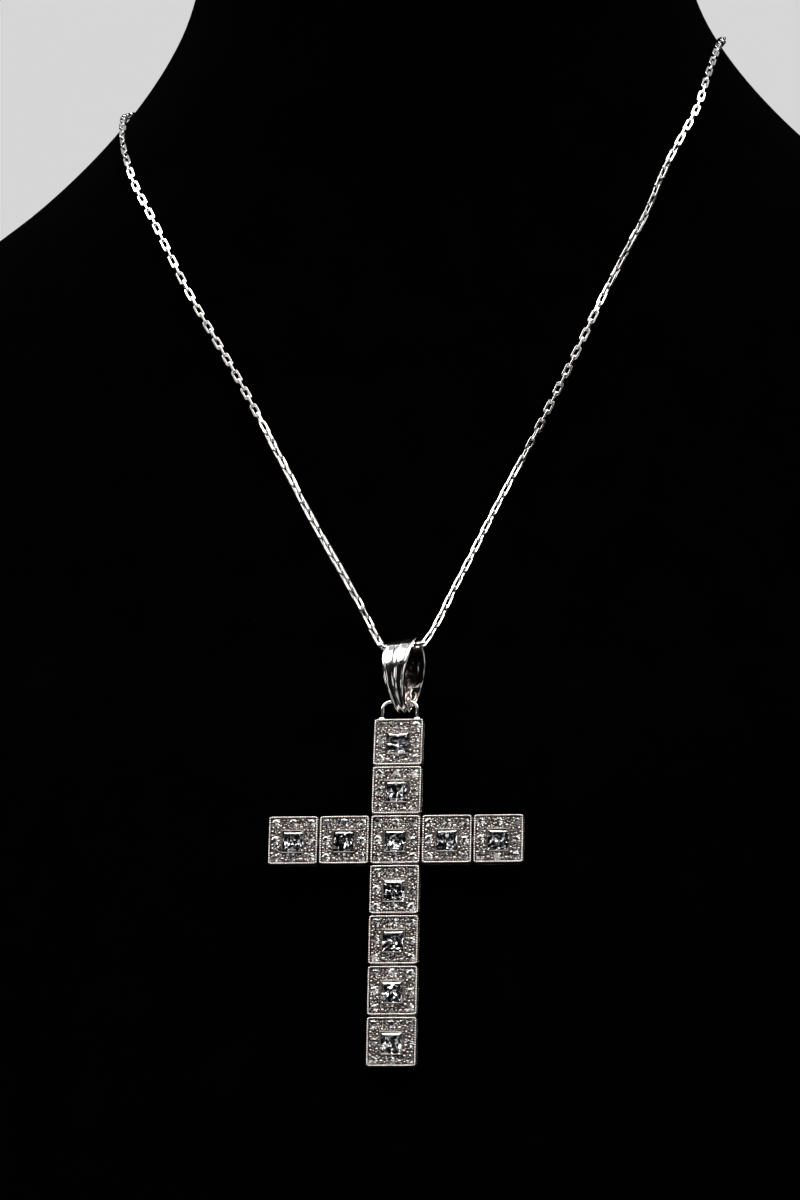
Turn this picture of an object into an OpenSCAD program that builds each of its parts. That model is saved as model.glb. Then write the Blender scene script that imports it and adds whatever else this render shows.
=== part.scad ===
// Cross pendant necklace resting on a plain neck bust.
// Millimetres, +Z up. The origin is the centre of the bust's flat underside,
// the chest faces -Y and the wearer's left side is +X.

/* [Cross tiles] */
// Width of one square tile
tile_w = 8.1; // [7.9:0.05:8.15]
// Height of one square tile
tile_h = 8; // [7.8:0.05:8.05]
// Depth of a tile from its rim to its back edge
tile_t = 2.6; // [2.2:0.1:2.6]
// Corner radius of a tile
tile_r = 0.5; // [0.2:0.1:0.8]
// Gap between tiles in the upright
gap_v = 0.25; // [0.2:0.05:0.3]
// Gap between tiles in the arms
gap_h = 0.3; // [0.2:0.05:0.4]
// Width of the beaded rim round a tile
rim_w = 0.35; // [0.25:0.05:0.5]
// Depth of the set field below the rim
field_d = 0.3; // [0.15:0.05:0.4]
// Thickness of a tile's side walls
wall_t = 0.8; // [0.7:0.05:0.9]

/* [Centre stones] */
// Side of the square stone at its girdle
stone_w = 3.4; // [3:0.1:3.4]
// How far the square stone sits below the tile's middle
stone_low = 0.25; // [0:0.05:0.3]
// Width of the metal frame round the stone
bezel_w = 0.2; // [0.2:0.05:0.3]
// Height of the frame's lip above the rim
bezel_h = 0.2; // [0:0.05:0.3]

/* [Loop and bail] */
// Wire diameter of the loop on the top tile
wire_d = 0.62; // [0.56:0.02:0.7]
// Half width of the loop, to the centre of the wire
loop_w = 2.9; // [2.6:0.1:3]
// Height of the loop's wire centre above the tile
loop_h = 3.2; // [3:0.1:3.4]
// Radius of the loop's bends
loop_r = 1.4; // [1.4:0.1:1.5]
// Depth of the two flutes along the bail
flute_d = 0.22; // [0:0.02:0.28]
// How far the bail is turned on the chain
bail_yaw = 27; // [20:1:27]
// How far the bail is tipped sideways on the chain
bail_roll = 1.5; // [0:0.5:4]

/* [Chain] */
// Outer diameter of the chain
chain_d = 1.25; // [1:0.05:1.25]
// Wire diameter of the clasp
clasp_d = 1; // [0.8:0.05:1.1]
// Radius of the clasp's ring, to the centre of its wire
clasp_r = 2.4; // [2.2:0.1:2.6]

/* [Neck bust] */
// Facets round the bust
bust_n = 56; // [40:4:72]
// Height of the full-width edge above the table
edge_h = 1.5; // [1:0.5:2]

/* [Hidden] */
velvet = [0.03, 0.03, 0.035];
metal = [0.84, 0.82, 0.81];
gem = [0.82, 0.87, 0.93];

// ---- sections of the bust ----
// columns: height, half width, front y, back y, roundness (2 is an ellipse)
BUST = [
    [0,   75,    -66,   66,   2.3],
    [25,  80,    -62,   68,   2.3],
    [55,  86.5,  -54.1, 70,   2.3],
    [84,  93,    -46,   72,   2.3],
    [102, 98,    -39.4, 73,   2.3],
    [115, 101,   -32.6, 74,   2.25],
    [135, 104.5, -25.2, 75.5, 2.2],
    [150, 105.5, -20.2, 76.5, 2.15],
    [165, 104,   -16,   77.5, 2.1],
    [176, 98.7,  -13.2, 78,   2.05],
    [186, 88.2,  -11.5, 78.5, 2],
    [195, 75.7,  -10.5, 79,   2],
    [210, 59.2,  -10.5, 79,   2],
    [225, 48.2,  -11,   78.5, 2],
    [240, 43.2,  -11,   78,   2],
    [262, 40,    -10,   77.5, 2]];

function row_slope(i) = let (n = len(BUST))
    i == 0 ? (BUST[1] - BUST[0]) / (BUST[1][0] - BUST[0][0]) :
    i == n - 1 ? (BUST[n - 1] - BUST[n - 2]) / (BUST[n - 1][0] - BUST[n - 2][0]) :
    let (h0 = BUST[i][0] - BUST[i - 1][0], h1 = BUST[i + 1][0] - BUST[i][0])
    ((BUST[i] - BUST[i - 1]) / h0 * h1 + (BUST[i + 1] - BUST[i]) / h1 * h0) / (h0 + h1);
SLOPE = [for (i = [0 : len(BUST) - 1]) row_slope(i)];
// smooth section at height z: [z, half width, front y, back y, roundness]
function section(z) = let (
    k = max([for (i = [0 : len(BUST) - 2]) if (z >= BUST[i][0] || i == 0) i]),
    h = BUST[k + 1][0] - BUST[k][0], t = (z - BUST[k][0]) / h)
    (2 * t ^ 3 - 3 * t ^ 2 + 1) * BUST[k] + (t ^ 3 - 2 * t ^ 2 + t) * h * SLOPE[k]
    + (3 * t ^ 2 - 2 * t ^ 3) * BUST[k + 1] + (t ^ 3 - t ^ 2) * h * SLOPE[k + 1];
// point of the bust at height z and angle a, 0 in front and +90 at +X
function skin(z, a, grow = 0) = let (q = section(z), e = 2 / q[4],
    s = sin(a), c = cos(a), b = (q[3] - q[2]) / 2)
    [(q[1] + grow) * sign(s) * abs(s) ^ e, (q[2] + q[3]) / 2 - (b + grow) * sign(c) * abs(c) ^ e, z];
function unit(v) = v / norm(v);
// point held off the bust by a gap, along the outward normal
function off_skin(a, z, gap) = let (
    u = skin(z, a + 0.1) - skin(z, a - 0.1), v = skin(z + 0.1, a) - skin(z - 0.1, a))
    skin(z, a) + gap * unit(cross(u, v));

// ---- places of the tiles ----
cross_y = -49;
cross_z = 84;
// columns: lean-back angle of each tile of the upright, top to bottom
LEAN = [22, 18.5, 16.5, 16, 15.5, 15, 15];
function up(a) = [0, sin(a), cos(a)];
step_v = (tile_h + gap_v) / 2;
// centre of tile i (0 is the top one), worked out from the crossing tile
function centre(i) = i == 2 ? [0, cross_y, cross_z] :
    i < 2 ? centre(i + 1) + step_v * (up(LEAN[i + 1]) + up(LEAN[i]))
          : centre(i - 1) - step_v * (up(LEAN[i - 1]) + up(LEAN[i]));
pitch_h = tile_w + gap_h;

// ---- loop, bail and chain at the bail ----
wire_in = 0.8;      // depth of the loop's wire behind the rim
bail_lean = 12;
bail_len = 12.4;    // from top to bottom
bail_half = 3.1;   // half of its depth
chain_drop = 1.38;  // chain centre below the bail's top
loop_drop = 10.45;  // loop centre below the bail's top
loop_at = centre(0) + (tile_h / 2 + loop_h) * up(LEAN[0]) + wire_in * [0, cos(LEAN[0]), -sin(LEAN[0])];
bail_x = 0.5;     // how far the bail sits from the loop's middle
hang_at = [bail_x, 0, 0] + loop_at + (loop_drop - chain_drop) * up(bail_lean);
// columns: distance below the bail's top, half width, wall
BAIL = [[0, 2.8, 0.6], [2.8, 2.75, 0.6], [5.3, 2.3, 0.6], [7.9, 1.75, 0.55], [10.4, 1.25, 0.45], [12.4, 1.1, 0.5]];

// ---- route of the chain ----
// where it lies on the bust. columns: angle, height, gap to the chain's centre
LEFT = [[-24, 177.5, 0.8], [-36, 191, 0.8], [-43, 196, 0.8], [-50, 200.5, 0.8], [-60, 205.5, 0.8],
    [-69, 209, 0.85], [-83, 211.5, 0.9], [-97, 213, 0.9], [-112, 214.5, 0.85], [-127, 216, 0.85],
    [-143, 218, 0.85], [-158, 219.5, 0.8], [-168, 220.5, 0.8]];
RIGHT = [[20.5, 178.5, 0.8], [28.5, 189.5, 0.8], [33, 194.5, 0.8], [40, 200.5, 0.8], [48, 206, 0.8],
    [60, 213.5, 0.85], [70, 218, 0.95], [88, 222, 0.95], [100, 223, 0.9], [114, 223.5, 0.85],
    [129, 223.5, 0.85], [145, 223, 0.85], [158, 222, 0.8], [168, 221.5, 0.8]];
// bends beside the bail and the straight legs above it, in the bail's own turned frame for
// the bends and in the main frame for the legs, from the bail outwards
BEND_LEFT = [[-1.6, 0, -0.05], [-3, 0, -0.03], [-4, 0, 0.25], [-4.5, 0.05, 0.95]];
BEND_RIGHT = [[1.6, 0, -0.05], [3, 0, -0.05], [4.1, 0.1, 0.2], [4.7, 0.3, 1]];
LEG_LEFT = [[-8.5, -32.9, 124], [-16.4, -27.4, 137], [-22.9, -22.6, 148.5], [-29.9, -17.4, 160.5]];
LEG_RIGHT = [[8.6, -36, 124], [14.4, -30.7, 136], [20.9, -24.8, 149], [27, -18.6, 162]];

// a point of the bail's own frame, whose origin is the chain inside it, in the main frame
function turn_x(p, a) = [p[0], p[1] * cos(a) - p[2] * sin(a), p[1] * sin(a) + p[2] * cos(a)];
function turn_y(p, a) = [p[0] * cos(a) + p[2] * sin(a), p[1], p[2] * cos(a) - p[0] * sin(a)];
function turn_z(p, a) = [p[0] * cos(a) - p[1] * sin(a), p[0] * sin(a) + p[1] * cos(a), p[2]];
function in_bail(p) = hang_at + turn_x(turn_z(turn_y(p, -bail_roll), -bail_yaw), -bail_lean);
clasp_at = off_skin(180, 221, clasp_d / 2 + 0.15);
clasp_edge = clasp_r + clasp_d / 2 + 0.1;
function flip(list) = [for (i = [len(list) - 1 : -1 : 0]) list[i]];
ROUTE = concat(
    [clasp_at + [-clasp_edge, 0.1, 0]],
    flip([for (r = LEFT) off_skin(r[0], r[1], r[2])]),
    flip(LEG_LEFT),
    flip([for (p = BEND_LEFT) in_bail(p)]),
    [for (p = BEND_RIGHT) in_bail(p)],
    LEG_RIGHT,
    [for (r = RIGHT) off_skin(r[0], r[1], r[2])],
    [clasp_at + [clasp_edge, 0.1, 0]]);

// smooth curve through a list of points, with n steps from each point to the next
function tangent(p, i) = i == 0 ? p[1] - p[0] : i == len(p) - 1 ? p[i] - p[i - 1] :
    let (a = norm(p[i] - p[i - 1]), b = norm(p[i + 1] - p[i]))
    ((p[i] - p[i - 1]) / a * b + (p[i + 1] - p[i]) / b * a) / (a + b);
function between(p, i, t) = let (h = norm(p[i + 1] - p[i]),
    m0 = i == 0 ? unit(tangent(p, 0)) : tangent(p, i),
    m1 = i + 1 == len(p) - 1 ? unit(tangent(p, i + 1)) : tangent(p, i + 1))
    (2 * t ^ 3 - 3 * t ^ 2 + 1) * p[i] + (t ^ 3 - 2 * t ^ 2 + t) * h * m0
    + (3 * t ^ 2 - 2 * t ^ 3) * p[i + 1] + (t ^ 3 - t ^ 2) * h * m1;
// steps on each stretch: two on the long ones and one on the short ones
function smooth(p) = concat([for (i = [0 : len(p) - 2])
    let (n = norm(p[i + 1] - p[i]) > 7 ? 2 : 1) for (k = [0 : n - 1]) between(p, i, k / n)], [p[len(p) - 1]]);
PATH = smooth(ROUTE);

// closed tube along a path, with flat ends. The ring's first side faces away from the neck
module tube(p, r, sides) {
    n = len(p);
    rings = [for (i = [0 : n - 1]) let (
        t = unit(p[min(i + 1, n - 1)] - p[max(i - 1, 0)]),
        out = unit([p[i][0], p[i][1] - 31, 0]),
        u = unit(out - (out * t) * t), v = cross(t, u))
        for (k = [0 : sides - 1]) let (a = 360 * (k + 0.5) / sides) p[i] + r * (cos(a) * u + sin(a) * v)];
    walls = [for (i = [0 : n - 2]) for (k = [0 : sides - 1]) let (j = (k + 1) % sides)
        [i * sides + k, (i + 1) * sides + k, (i + 1) * sides + j, i * sides + j]];
    polyhedron(rings, concat(walls,
        [[for (k = [0 : sides - 1]) k]],
        [[for (k = [sides - 1 : -1 : 0]) (n - 1) * sides + k]]));
}

// ---- neck bust ----
// levels: [height, how far it is drawn in]
LEVELS = concat([[0, -0.8], [edge_h, 0]],
    [for (z = [5 : 5 : 250]) [z, 0]],
    [for (a = [0 : 18 : 72]) [254 + 8 * sin(a), -8 * (1 - cos(a))]]);
module neck_bust() {
    color(velvet) {
        n = bust_n;
        m = len(LEVELS);
        pts = concat([for (l = LEVELS) for (k = [0 : n - 1]) skin(l[0], 360 * k / n, l[1])],
            [[0, 0, 0]], [[0, 33.75, 262.4]]);
        polyhedron(pts, concat(
            [for (i = [0 : m - 2]) for (k = [0 : n - 1]) let (j = (k + 1) % n)
                [i * n + k, (i + 1) * n + k, (i + 1) * n + j, i * n + j]],
            [for (k = [0 : n - 1]) [m * n, k, (k + 1) % n]],
            [for (k = [0 : n - 1]) [m * n + 1, (m - 1) * n + (k + 1) % n, (m - 1) * n + k]]));
    }
}

// ---- chain and clasp ----
module chain() { color(metal) tube(PATH, chain_d / 2, 8); }
module clasp() {
    color(metal) translate(clasp_at) rotate([90, 0, 0]) {
        rotate_extrude($fn = 48) translate([clasp_r, 0]) circle(d = clasp_d, $fn = 24);
        // thumb knob on the ring's edge
        rotate([0, 0, 35]) translate([clasp_r + 0.2, 0, 0]) rotate([0, 90, 0]) cylinder(d = 0.7, h = 0.9, $fn = 24);
    }
}

// ---- bail: a folded band with three ribs and two flutes ----
bail_n = 48;
ACROSS = [-1, -0.75, -0.5, -0.25, 0, 0.25, 0.5, 0.75, 1];
// outline of the folded band from the side: [depth, height], a goes round it from the top
function bail_edge(a) = [-bail_half * sign(sin(a)) * abs(sin(a)) ^ (cos(a) > 0 ? 1.25 : 1.3),
    chain_drop - bail_len / 2 * (1 - cos(a))];
function bail_size(d, column) = lookup(d, [for (r = BAIL) [r[0], r[column]]]);
module bail() {
    color(metal) translate(hang_at) rotate([-bail_lean, 0, 0]) rotate([0, 0, -bail_yaw]) rotate([0, -bail_roll, 0]) {
        k = len(ACROSS) + 3;
        pts = [for (i = [0 : bail_n - 1]) let (
            a = 360 * (i + 0.5) / bail_n, p = bail_edge(a),
            t = unit(bail_edge(a + 1) - bail_edge(a - 1)), out = [t[1], -t[0]],
            w = bail_size(chain_drop - p[1], 1), d = bail_size(chain_drop - p[1], 2))
            each concat(
                [for (u = ACROSS) let (q = p - out * flute_d * sin(180 * u) ^ 2) [u * w, q[0], q[1]]],
                [for (u = [1, 0, -1]) let (q = p - out * d) [u * w, q[0], q[1]]])];
        polyhedron(pts, [for (i = [0 : bail_n - 1]) let (i2 = (i + 1) % bail_n)
            for (j = [0 : k - 1]) let (j2 = (j + 1) % k)
            [i * k + j, i * k + j2, i2 * k + j2, i2 * k + j]]);
    }
}

// ---- tiles ----
// flat outline with round corners
module plate(w, h, r) {
    square([w - 2 * r, h], center = true);
    square([w, h - 2 * r], center = true);
    for (x = [-1, 1]) for (y = [-1, 1])
        translate([x * (w / 2 - r), y * (h / 2 - r)]) circle(r, $fn = 24);
}
// outline raised from depth y0 to depth y1 behind the rim
module slab(y0, y1) { translate([0, y1, 0]) rotate([90, 0, 0]) linear_extrude(y1 - y0) children(); }
bezel_out = stone_w + 0.06 + 2 * bezel_w;
slot_y = 1.45;   // depth of the middle of the link slots
module low() { translate([0, -stone_low]) children(); }
module tile_body(sides) {
    difference() {
        union() {
            slab(0, tile_t) plate(tile_w, tile_h, tile_r);
            slab(-bezel_h, field_d + 0.2) low() square(bezel_out, center = true);
        }
        // set field between the rim and the frame
        difference() {
            slab(-0.01, field_d) plate(tile_w - 2 * rim_w, tile_h - 2 * rim_w, tile_r);
            slab(-1, 1) low() square(bezel_out, center = true);
        }
        // stone's seat and the open back
        slab(-1, 2) low() square(stone_w + 0.06, center = true);
        slab(1, tile_t + 1) plate(tile_w - 2 * wall_t, tile_h - 2 * wall_t, 0.4);
        // slots of the hidden links
        for (s = sides) rotate([0, s, 0])
            translate([0, slot_y, 3.6]) cube([1.3, 0.8, 1.6], center = true);
    }
}
module tile_place(i) { translate(centre(i)) rotate([-LEAN[i], 0, 0]) children(); }
module arm_place(k) { translate(centre(2) + [k * pitch_h, 0, 0]) rotate([-LEAN[2], 0, 0]) children(); }
// sides that carry a link slot: 0 top, 90 right, 180 foot, 270 left
module tile_1() {
    color(metal) tile_place(0) {
        tile_body([180]);
        translate([0, wire_in, tile_h / 2 - 0.1]) {
            for (s = [-1, 1]) {
                translate([s * loop_w, 0, 0]) cylinder(d = wire_d, h = loop_h - loop_r + 0.1, $fn = 32);
                translate([s * loop_w, 0, 0.25]) cube([0.95, 0.9, 0.5], center = true);
                translate([s * (loop_w - loop_r), 0, loop_h - loop_r + 0.1]) rotate([90, 0, 0]) rotate([0, 0, s > 0 ? 0 : 90])
                    rotate_extrude(angle = 90, $fn = 48) translate([loop_r, 0]) circle(d = wire_d, $fn = 32);
            }
            translate([-(loop_w - loop_r), 0, loop_h + 0.1]) rotate([0, 90, 0])
                cylinder(d = wire_d, h = 2 * (loop_w - loop_r), $fn = 32);
        }
    }
}
module tile_2() { color(metal) tile_place(1) tile_body([0, 180]); }
module tile_3() { color(metal) tile_place(2) tile_body([0, 90, 180, 270]); }
module tile_4() { color(metal) tile_place(3) tile_body([0, 180]); }
module tile_5() { color(metal) tile_place(4) tile_body([0, 180]); }
module tile_6() { color(metal) tile_place(5) tile_body([0, 180]); }
module tile_7() { color(metal) tile_place(6) tile_body([0]); }
module tile_left_outer() { color(metal) arm_place(-2) tile_body([90]); }
module tile_left_inner() { color(metal) arm_place(-1) tile_body([90, 270]); }
module tile_right_inner() { color(metal) arm_place(1) tile_body([90, 270]); }
module tile_right_outer() { color(metal) arm_place(2) tile_body([270]); }

// ---- centre stone: square table, crown, thin girdle and pointed underside ----
module stone() {
    g = stone_w / 2;
    t = g * 0.72;
    pts = concat(
        [for (s = [[-1, -1], [1, -1], [1, 1], [-1, 1]]) [s[0] * t, -bezel_h - 0.2, s[1] * t - stone_low]],
        [for (s = [[-1, -1], [1, -1], [1, 1], [-1, 1]]) [s[0] * g, 0.05, s[1] * g - stone_low]],
        [for (s = [[-1, -1], [1, -1], [1, 1], [-1, 1]]) [s[0] * g, 0.15, s[1] * g - stone_low]],
        [[0, 1.9, -stone_low]]);
    color(gem) polyhedron(pts, concat([[3, 2, 1, 0]],
        [for (r = [0, 4]) for (k = [0 : 3]) let (j = (k + 1) % 4) [r + k, r + j, r + 4 + j, r + 4 + k]],
        [for (k = [0 : 3]) let (j = (k + 1) % 4) [8 + k, 8 + j, 12]]));
}
module stone_1() { tile_place(0) stone(); }
module stone_2() { tile_place(1) stone(); }
module stone_3() { tile_place(2) stone(); }
module stone_4() { tile_place(3) stone(); }
module stone_5() { tile_place(4) stone(); }
module stone_6() { tile_place(5) stone(); }
module stone_7() { tile_place(6) stone(); }
module stone_left_outer() { arm_place(-2) stone(); }
module stone_left_inner() { arm_place(-1) stone(); }
module stone_right_inner() { arm_place(1) stone(); }
module stone_right_outer() { arm_place(2) stone(); }

// ---- hidden links: a bar through two slots with a head at each end ----
module link(gap) {
    bar = 2 * wall_t + gap + 0.3;
    cube([1, 0.5, bar + 0.2], center = true);
    for (s = [-1, 1]) translate([0, 0, s * (bar / 2 + 0.2)]) cube([2, 0.5, 0.4], center = true);
}
module link_v(i) {
    a = (LEAN[i] + LEAN[i + 1]) / 2;
    color(metal) translate((centre(i) + centre(i + 1)) / 2 + slot_y * [0, cos(a), -sin(a)])
        rotate([-a, 0, 0]) link(gap_v);
}
module link_h(k) {
    color(metal) arm_place(k) translate([0, slot_y, 0]) rotate([0, 90, 0]) link(gap_h);
}
module link_12() link_v(0);
module link_23() link_v(1);
module link_34() link_v(2);
module link_45() link_v(3);
module link_56() link_v(4);
module link_67() link_v(5);
module link_left_outer() link_h(-1.5);
module link_left_inner() link_h(-0.5);
module link_right_inner() link_h(0.5);
module link_right_outer() link_h(1.5);

neck_bust();
chain();
clasp();
bail();
tile_1();
tile_2();
tile_3();
tile_4();
tile_5();
tile_6();
tile_7();
tile_left_outer();
tile_left_inner();
tile_right_inner();
tile_right_outer();
stone_1();
stone_2();
stone_3();
stone_4();
stone_5();
stone_6();
stone_7();
stone_left_outer();
stone_left_inner();
stone_right_inner();
stone_right_outer();
link_12();
link_23();
link_34();
link_45();
link_56();
link_67();
link_left_outer();
link_left_inner();
link_right_inner();
link_right_outer();
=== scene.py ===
"""Looks of the cross pendant necklace on its neck bust.
Metres, in the CAD frame: +Z up, the chest faces -Y, the origin under the bust."""
import bpy
import math
import numpy as np
from mathutils import Matrix, Vector, geometry


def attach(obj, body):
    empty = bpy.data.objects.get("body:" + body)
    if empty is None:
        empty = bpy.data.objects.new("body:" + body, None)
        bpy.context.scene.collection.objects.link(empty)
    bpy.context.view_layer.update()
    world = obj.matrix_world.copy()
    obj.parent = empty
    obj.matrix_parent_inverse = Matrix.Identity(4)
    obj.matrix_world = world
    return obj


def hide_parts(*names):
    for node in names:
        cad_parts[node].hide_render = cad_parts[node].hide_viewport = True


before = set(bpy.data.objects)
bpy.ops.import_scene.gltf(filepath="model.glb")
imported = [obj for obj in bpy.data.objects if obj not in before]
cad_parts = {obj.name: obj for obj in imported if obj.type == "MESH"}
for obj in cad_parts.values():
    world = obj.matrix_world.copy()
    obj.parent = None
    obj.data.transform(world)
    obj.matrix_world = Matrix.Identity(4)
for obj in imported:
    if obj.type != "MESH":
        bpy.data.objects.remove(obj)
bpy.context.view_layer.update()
scene = bpy.context.scene
MM = 0.001
rad = math.radians


# ------------------------------------------------------------------ mesh kit
class Shell:
    """Collects closed and open shells, in mm, and makes one mesh of them."""

    def __init__(self):
        self.v, self.f, self.s, self.c, self.m, self.n = [], [], [], [], [], 0

    def add(self, verts, faces, smooth=True, painted_shade_and_tone=0.0, slot=0):
        verts = np.asarray(verts, float).reshape(-1, 3)
        k = self.n
        self.v.append(verts)
        self.c.append(np.broadcast_to(np.asarray(painted_shade_and_tone, float), (len(verts),)))
        self.f.extend([tuple(i + k for i in f) for f in faces])
        self.s.extend([smooth] * len(faces))
        self.m.extend(list(slot) if hasattr(slot, "__len__") else [slot] * len(faces))
        self.n += len(verts)

    def build(self, name, material, place=None, flip=False):
        v = np.concatenate(self.v)
        if place is not None:
            v = place(v)
        faces = [f[::-1] for f in self.f] if flip else self.f
        me = bpy.data.meshes.new(name)
        me.from_pydata((v * MM).tolist(), [], faces)
        me.polygons.foreach_set("use_smooth", self.s)
        # per-point painted shade for the tile metal, with some random grain tone
        layer = me.attributes.new("painted_shade_and_tone", "FLOAT", "POINT")
        layer.data.foreach_set("value", np.concatenate(self.c).astype(np.float32))
        for mat in material if isinstance(material, (list, tuple)) else [material]:
            me.materials.append(mat)
        me.polygons.foreach_set("material_index", self.m)
        me.update()
        ob = bpy.data.objects.new(name, me)
        scene.collection.objects.link(ob)
        return ob


def grid_faces(rows, cols, wrap_c=True, wrap_r=False):
    out = []
    for i in range(rows if wrap_r else rows - 1):
        i2 = (i + 1) % rows
        for j in range(cols if wrap_c else cols - 1):
            j2 = (j + 1) % cols
            out.append((i * cols + j, i * cols + j2, i2 * cols + j2, i2 * cols + j))
    return out


def ball(segs, rings):
    """Unit sphere with its poles on Y: vertices and faces."""
    v = [(0.0, -1.0, 0.0)]
    for i in range(1, rings):
        a = math.pi * i / rings
        for j in range(segs):
            b = 2 * math.pi * j / segs
            v.append((math.sin(a) * math.cos(b), -math.cos(a), math.sin(a) * math.sin(b)))
    v.append((0.0, 1.0, 0.0))
    f = [(0, 1 + j, 1 + (j + 1) % segs) for j in range(segs)]
    for i in range(rings - 2):
        a, b = 1 + i * segs, 1 + (i + 1) * segs
        f += [(a + j, b + j, b + (j + 1) % segs, a + (j + 1) % segs) for j in range(segs)]
    last = 1 + (rings - 2) * segs
    f += [(len(v) - 1, last + (j + 1) % segs, last + j) for j in range(segs)]
    return np.array(v), f


BALL = ball(12, 8)
GRAIN = ball(10, 6)


def rounded(w, h, r, n_c=5, n_s=10):
    """Points of a rounded rectangle in the XZ plane, the same number for any size."""
    r = max(r, 0.02)
    out = []
    for q, (sx, sz) in enumerate([(1, 1), (-1, 1), (-1, -1), (1, -1)]):
        cx, cz = sx * (w / 2 - r), sz * (h / 2 - r)
        for k in range(n_c):
            a = math.pi / 2 * (q + k / (n_c - 1))
            out.append((cx + r * math.cos(a), cz + r * math.sin(a)))
        sx2, sz2 = [(-1, 1), (-1, -1), (1, -1), (1, 1)][q]
        nx, nz = sx2 * (w / 2 - r), sz2 * (h / 2 - r)
        a = math.pi / 2 * (q + 1)
        p0 = np.array([cx + r * math.cos(a), cz + r * math.sin(a)])
        p1 = np.array([nx + r * math.cos(a), nz + r * math.sin(a)])
        for k in range(1, n_s):
            p = p0 + (p1 - p0) * k / n_s
            out.append((p[0], p[1]))
    return np.array(out)


def band(shell, profile, w, h, r, smooth=True, painted_shade_and_tone=0.0, least=0.06, drop=0.0):
    """Sweeps a profile of (inset, depth) rows round a rounded rectangle."""
    rings = []
    for d, y in profile:
        p = rounded(w - 2 * d, h - 2 * d, max(r - d, least))
        rings.append(np.column_stack([p[:, 0], np.full(len(p), y), p[:, 1] - drop]))
    n = len(rings[0])
    if smooth:
        shell.add(np.concatenate(rings), grid_faces(len(rings), n), True, painted_shade_and_tone)
    else:
        for a, b in zip(rings[:-1], rings[1:]):
            shell.add(np.concatenate([a, b]), grid_faces(2, n), False, painted_shade_and_tone)


def wire(shell, pts, radius, sides=12, closed=False, up=(0, 1, 0), squash=1.0, slot=0):
    """Round wire along points."""
    p = np.asarray(pts, float)
    n = len(p)
    up = np.array(up, float)
    rings = []
    for i in range(n):
        a = p[(i - 1) % n] if closed or i > 0 else p[i]
        b = p[(i + 1) % n] if closed or i < n - 1 else p[i]
        t = (b - a) / np.linalg.norm(b - a)
        u = up - t * (up @ t)
        u /= np.linalg.norm(u)
        w = np.cross(t, u)
        r = radius[i] if hasattr(radius, "__len__") else radius
        ang = 2 * math.pi * np.arange(sides) / sides
        rings.append(p[i] + r * (np.cos(ang)[:, None] * u * squash + np.sin(ang)[:, None] * w))
    v = np.concatenate(rings)
    f = grid_faces(n, sides, True, closed)
    if not closed:
        f = f + [tuple(range(sides - 1, -1, -1)), tuple(range((n - 1) * sides, n * sides))]
    shell.add(v, f, True, 0.0, slot)


# ------------------------------------------------------------------ materials
def new_material(name):
    m = bpy.data.materials.new(name)
    m.use_nodes = True
    nt = m.node_tree
    return m, nt, nt.nodes["Principled BSDF"]


def node(nt, kind, **inputs):
    n = nt.nodes.new(kind)
    for k, v in inputs.items():
        n.inputs[k.replace("_", " ")].default_value = v
    return n


def ramp(nt, source, stops):
    r = nt.nodes.new("ShaderNodeValToRGB")
    while len(r.color_ramp.elements) < len(stops):
        r.color_ramp.elements.new(0.5)
    for e, (pos, col) in zip(r.color_ramp.elements, stops):
        e.position = pos
        e.color = (*col, 1.0) if len(col) == 3 else col
    nt.links.new(source, r.inputs["Fac"])
    return r


def white_metal(name, light, dark, rough, rough_spread, grain, bump, pits=False, scratch=1.0):
    """Polished white metal: faint colour drift, uneven sheen from wear, fine scratches, and, with pits set, painted
    shade: a mix towards near-black where the per-point attribute says so.
    """
    m, nt, b = new_material(name)
    co = nt.nodes.new("ShaderNodeTexCoord")
    n1 = node(nt, "ShaderNodeTexNoise", Scale=grain, Detail=4.0, Roughness=0.6)
    nt.links.new(co.outputs["Object"], n1.inputs["Vector"])
    tone = ramp(nt, n1.outputs["Fac"], [(0.35, dark), (0.62, light)])
    colour = tone.outputs["Color"]
    if pits:
        # painted shade: the attribute darkens the metal towards near-black in the field's hollows, the stone seats and
        # the walls, and darkens single grains at random as tone
        at = nt.nodes.new("ShaderNodeAttribute")
        at.attribute_name = "painted_shade_and_tone"
        mix = nt.nodes.new("ShaderNodeMix")
        mix.data_type = "RGBA"
        nt.links.new(at.outputs["Fac"], mix.inputs["Factor"])
        nt.links.new(colour, mix.inputs["A"])
        mix.inputs["B"].default_value = (0.075, 0.064, 0.058, 1)
        colour = mix.outputs["Result"]
    nt.links.new(colour, b.inputs["Base Color"])
    b.inputs["Metallic"].default_value = 1.0
    n2 = node(nt, "ShaderNodeTexNoise", Scale=grain * 2.3, Detail=3.0)
    nt.links.new(co.outputs["Object"], n2.inputs["Vector"])
    rr = nt.nodes.new("ShaderNodeMapRange")
    rr.inputs["From Min"].default_value = 0.3
    rr.inputs["From Max"].default_value = 0.7
    rr.inputs["To Min"].default_value = rough
    rr.inputs["To Max"].default_value = rough + rough_spread
    nt.links.new(n2.outputs["Fac"], rr.inputs["Value"])
    nt.links.new(rr.outputs["Result"], b.inputs["Roughness"])
    mp = nt.nodes.new("ShaderNodeMapping")
    mp.inputs["Scale"].default_value = (scratch, 1.0, 1.0)
    nt.links.new(co.outputs["Object"], mp.inputs["Vector"])
    n3 = node(nt, "ShaderNodeTexNoise", Scale=grain * 6, Detail=3.0)
    nt.links.new(mp.outputs["Vector"], n3.inputs["Vector"])
    bm = nt.nodes.new("ShaderNodeBump")
    bm.inputs["Strength"].default_value = bump
    bm.inputs["Distance"].default_value = 0.00006
    nt.links.new(n3.outputs["Fac"], bm.inputs["Height"])
    nt.links.new(bm.outputs["Normal"], b.inputs["Normal"])
    return m


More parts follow.
